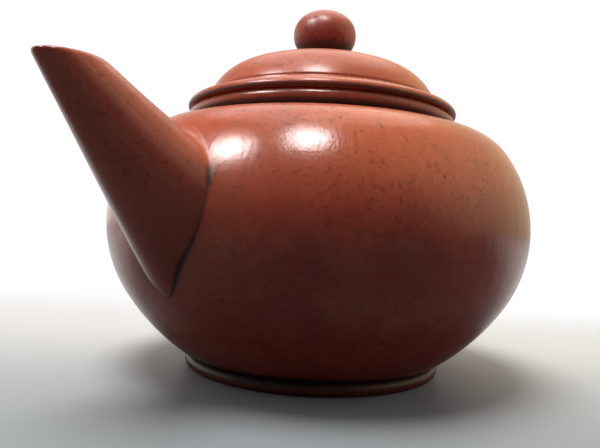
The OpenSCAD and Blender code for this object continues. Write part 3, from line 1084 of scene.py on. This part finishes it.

# %% [markdown]
# ## Browner and duller clay
# Two more amounts are stored in the same way. One gives spout, handle and knob, which were shaped by hand,
# a darker, browner copy of the clay's colours, which fades into the pot's own colour where they are smeared
# on. The other marks what the rubbing tool hardly touched: the top of the spout and its joint, the shoulder
# close to the mouth, the dome and the knob. A second material could do this too, but it would end at a hard
# line.

# %% Mark the browner and duller clay
def off_pot(points, low_depth, high_depth):
    """Goes from 0 on the pot's wall to 1 at a depth of clay, which differs low and high on the pot."""
    depth = np.interp(points[:, 2], (28.0, 38.0), (low_depth, high_depth))
    return np.clip(pot_height(points)[0] / depth, 0.0, 1.0)


joint_top_z = 36.0
whole_knob = np.ones(len(knob_points))
from_axis = spout_points - lip_middle
upper_side = from_axis @ spout_up / np.hypot(from_axis @ spout_up, from_axis @ spout_side)
smeared = (1.0 - off_pot(spout_points, 0.4, 3.0)) * (spout_points[:, 2] > joint_top_z)
below_bead = pot_points[:, 2] < top_z + 0.3
on_dome = np.clip((lid_points[:, 2] - bead_z) / 0.8, 0.0, 1.0)
store(spout, "darker_tone", off_pot(spout_points, 0.4, 0.8))
store(handle, "darker_tone", off_pot(handle_points, 2.0, 2.0))
store(knob, "darker_tone", whole_knob)
store(spout, "matte", np.clip(upper_side, 0.0, 1.0), smeared)
store(pot, "matte", around_ring(pot_points, neck_foot, amount=1.0, width=6.0) * below_bead)
store(lid, "matte", 0.25 * on_dome)
store(knob, "matte", whole_knob)

# %% [markdown]
# ## Hanging the skins on the model
# Each skin rides on the body that it belongs to and stands for the plain nodes under it, which are hidden.
# The pot's skin stands for every piece that is fired into it.

# %% Hang the skins
skins = (
    (pot, "pot", ("base_disc", "foot_ring", "body_wall", "strainer", "shoulder", "mouth_ring")),
    (spout, "pot", ("spout",)),
    (handle, "pot", ("handle",)),
    (lid, "lid", ("lid_cover", "lid_rim", "lid_flange")),
    (knob, "lid", ("knob",)),
)
for skin, body, nodes in skins:
    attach(skin, body)
    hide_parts(*nodes)
    print(f"{skin.name} rides on {body} for {len(nodes)} plain nodes")

# %% [markdown]
# ## The table
# The pot stands on a pale grey table with a soft sheen. Its colour is painted paler towards the light behind
# the pot, as a painted pool of light. The far table fades to white for the camera, and the near part keeps
# the shadow. A large white sheet would do for that, but it would throw so much light up that the dark
# underside of the pot went pale. So the table's material asks what kind of ray has met it, and is darker and
# duller for the light that it passes on. In the pot's gloss the table is painted darker on the camera's
# side, as painted shade, and turns partly white behind the pot.

# %% The table
BLACK = (0.0, 0.0, 0.0, 1.0)
WHITE = (1.0, 1.0, 1.0, 1.0)
NEAR_TABLE = (0.235, 0.258, 0.264, 1.0)
NEAR_TABLE_PALE = (0.270, 0.292, 0.295, 1.0)
LIT_TABLE = (0.55, 0.54, 0.515, 1.0)
PASSED_ON = (0.04, 0.04, 0.04, 1.0)
window_turn = -2.0
table_radius = 3.0
table_drop = 0.02


def turned_ahead(degrees):
    """The camera's level direction, turned to the left."""
    return Matrix.Rotation(math.radians(degrees), 3, "Z") @ CAMERA_AHEAD


def table_material():
    """Grey near the camera, painted paler towards the light, and white far away to the camera."""
    material, tree, shader, place = new_material("pale_table")
    path = tree.nodes.new("ShaderNodeLightPath").outputs
    along = vector_calc(tree, "DOT_PRODUCT", place, CAMERA_AHEAD)
    to_window = vector_calc(tree, "DOT_PRODUCT", place, turned_ahead(window_turn))
    near = blend_colour(tree, noise(tree, place, 18.0, 3.0), NEAR_TABLE, NEAR_TABLE_PALE)
    # Painted light: the table's colour turns from the grey near part to a pale one towards the light behind
    # the pot.
    colour = blend_colour(tree, fade(tree, to_window, -0.055, 0.040), near, LIT_TABLE)
    # Painted shade in the gloss: glossy rays see the table darker on the camera's side of the pot.
    dimmer = blend_colour(tree, plus(tree, 0.3, fade(tree, along, -0.03, 0.05), 0.65), BLACK, colour)
    colour = blend_colour(tree, path["Is Glossy Ray"], colour, dimmer)
    colour = blend_colour(tree, path["Is Diffuse Ray"], colour, PASSED_ON)
    tree.links.new(colour, shader.inputs["Base Color"])
    tree.links.new(plus(tree, 0.5, path["Is Glossy Ray"], 0.5), shader.inputs["Roughness"])
    behind = fade(tree, along, 0.03, 0.12)
    far_away = fade(tree, vector_calc(tree, "LENGTH", place), 0.16, 0.50)
    seen = times(tree, calc(tree, "MAXIMUM", behind, far_away), path["Is Camera Ray"])
    mirrored = times(tree, times(tree, behind, 0.6), path["Is Glossy Ray"])
    white = add(tree, "ShaderNodeEmission", {"Color": WHITE, "Strength": 1.0})
    share = calc(tree, "MAXIMUM", seen, mirrored)
    mixed = add(tree, "ShaderNodeMixShader", {0: share, 1: shader, 2: white})
    tree.links.new(mixed.outputs[0], tree.nodes["Material Output"].inputs["Surface"])
    return material


def table_piece():
    """A wide disc just under the foot of the pot."""
    mesh = bpy.data.meshes.new("table")
    disc = bmesh.new()
    bmesh.ops.create_circle(disc, cap_ends=True, segments=96, radius=table_radius)
    bmesh.ops.translate(disc, verts=disc.verts, vec=(0.0, 0.0, -table_drop * MM))
    disc.to_mesh(mesh)
    disc.free()
    mesh.materials.append(table_material())
    return new_object("table", mesh)


table_piece()
print(f"the table is {2 * table_radius:.0f} m wide")

# %% [markdown]
# ## The light
# A white wall of light stands behind the pot. Two small windows make the two bright spots on the shoulder,
# and a broad skylight softens the whole. One big lamp could light it all, but the spots and the colours
# could then not be set apart. So the windows show in the gloss alone, and a lamp at the ceiling and a weak
# one on each side light only the matte clay.

# %% The light
lamp_aim = Vector((0.0, 0.0, 35.0)) * MM
ROOM_SHADE = (0.06, 0.06, 0.09, 1.0)
WARM_WALL = (0.90, 0.74, 0.45, 1.0)
BRIGHT_WALL = (1.30, 1.24, 1.15, 1.0)


def lamp(name, towards, distance, size, power, in_gloss=True, in_matte=True):
    """A round soft lamp towards a direction from the pot. The gloss or the matte clay can leave it out."""
    light = bpy.data.lights.new(name, "AREA")
    light.shape = "DISK"
    light.size = size
    light.energy = power
    holder = new_object(name, light)
    away = Vector(towards).normalized()
    holder.location = lamp_aim + away * distance
    holder.rotation_euler = (-away).to_track_quat("-Z", "Y").to_euler()
    holder.visible_camera = False
    holder.visible_glossy = in_gloss
    holder.visible_diffuse = in_matte


def wall_of_light():
    """A world that is bright behind the pot and dim behind the camera, and plain white to the camera."""
    world = bpy.data.worlds.new("wall_of_light")
    world.use_nodes = True
    tree = world.node_tree
    way = add(tree, "ShaderNodeTexCoord").outputs["Generated"]
    path = tree.nodes.new("ShaderNodeLightPath").outputs

    def glow(turned, lifted, start):
        """A soft glow round a direction, in degrees to the left of the camera's view and up."""
        lift = math.radians(lifted)
        middle = turned_ahead(turned) * math.cos(lift) + Vector((0.0, 0.0, math.sin(lift)))
        return fade(tree, vector_calc(tree, "DOT_PRODUCT", way, middle), start, 1.0)

    height = add(tree, "ShaderNodeSeparateXYZ", {0: way}).outputs["Z"]
    lower = plus(tree, 1.0, fade(tree, height, 0.15, 0.65), -0.75)
    behind = times(tree, glow(35.0, 0.0, 0.05), lower)
    right = times(tree, glow(-70.0, 35.0, 0.3), path["Is Glossy Ray"])
    shade = blend_colour(tree, right, ROOM_SHADE, WARM_WALL)
    shade = blend_colour(tree, behind, shade, BRIGHT_WALL)
    shade = blend_colour(tree, path["Is Camera Ray"], shade, WHITE)
    tree.links.new(shade, tree.nodes["Background"].inputs["Color"])
    return world


lamp("window_near", (-0.42, -0.20, 0.88), distance=0.60, size=0.16, power=2.4, in_matte=False)
lamp("window_far", (-0.600, 0.27, 0.68), distance=0.60, size=0.17, power=2.4, in_matte=False)
lamp("skylight", (0.28, 0.21, 1.0), distance=0.70, size=0.80, power=1.8)
lamp("ceiling", (-0.20, 0.045, 1.0), distance=0.70, size=0.36, power=5.7, in_gloss=False)
lamp("right_side", (0.60, -0.80, 0.25), distance=0.70, size=0.80, power=2.0, in_gloss=False)
lamp("left_side", (-0.60, 0.27, 0.60), distance=0.70, size=0.60, power=0.7, in_gloss=False)
bpy.context.scene.world = wall_of_light()
bpy.context.scene.view_settings.view_transform = "Standard"
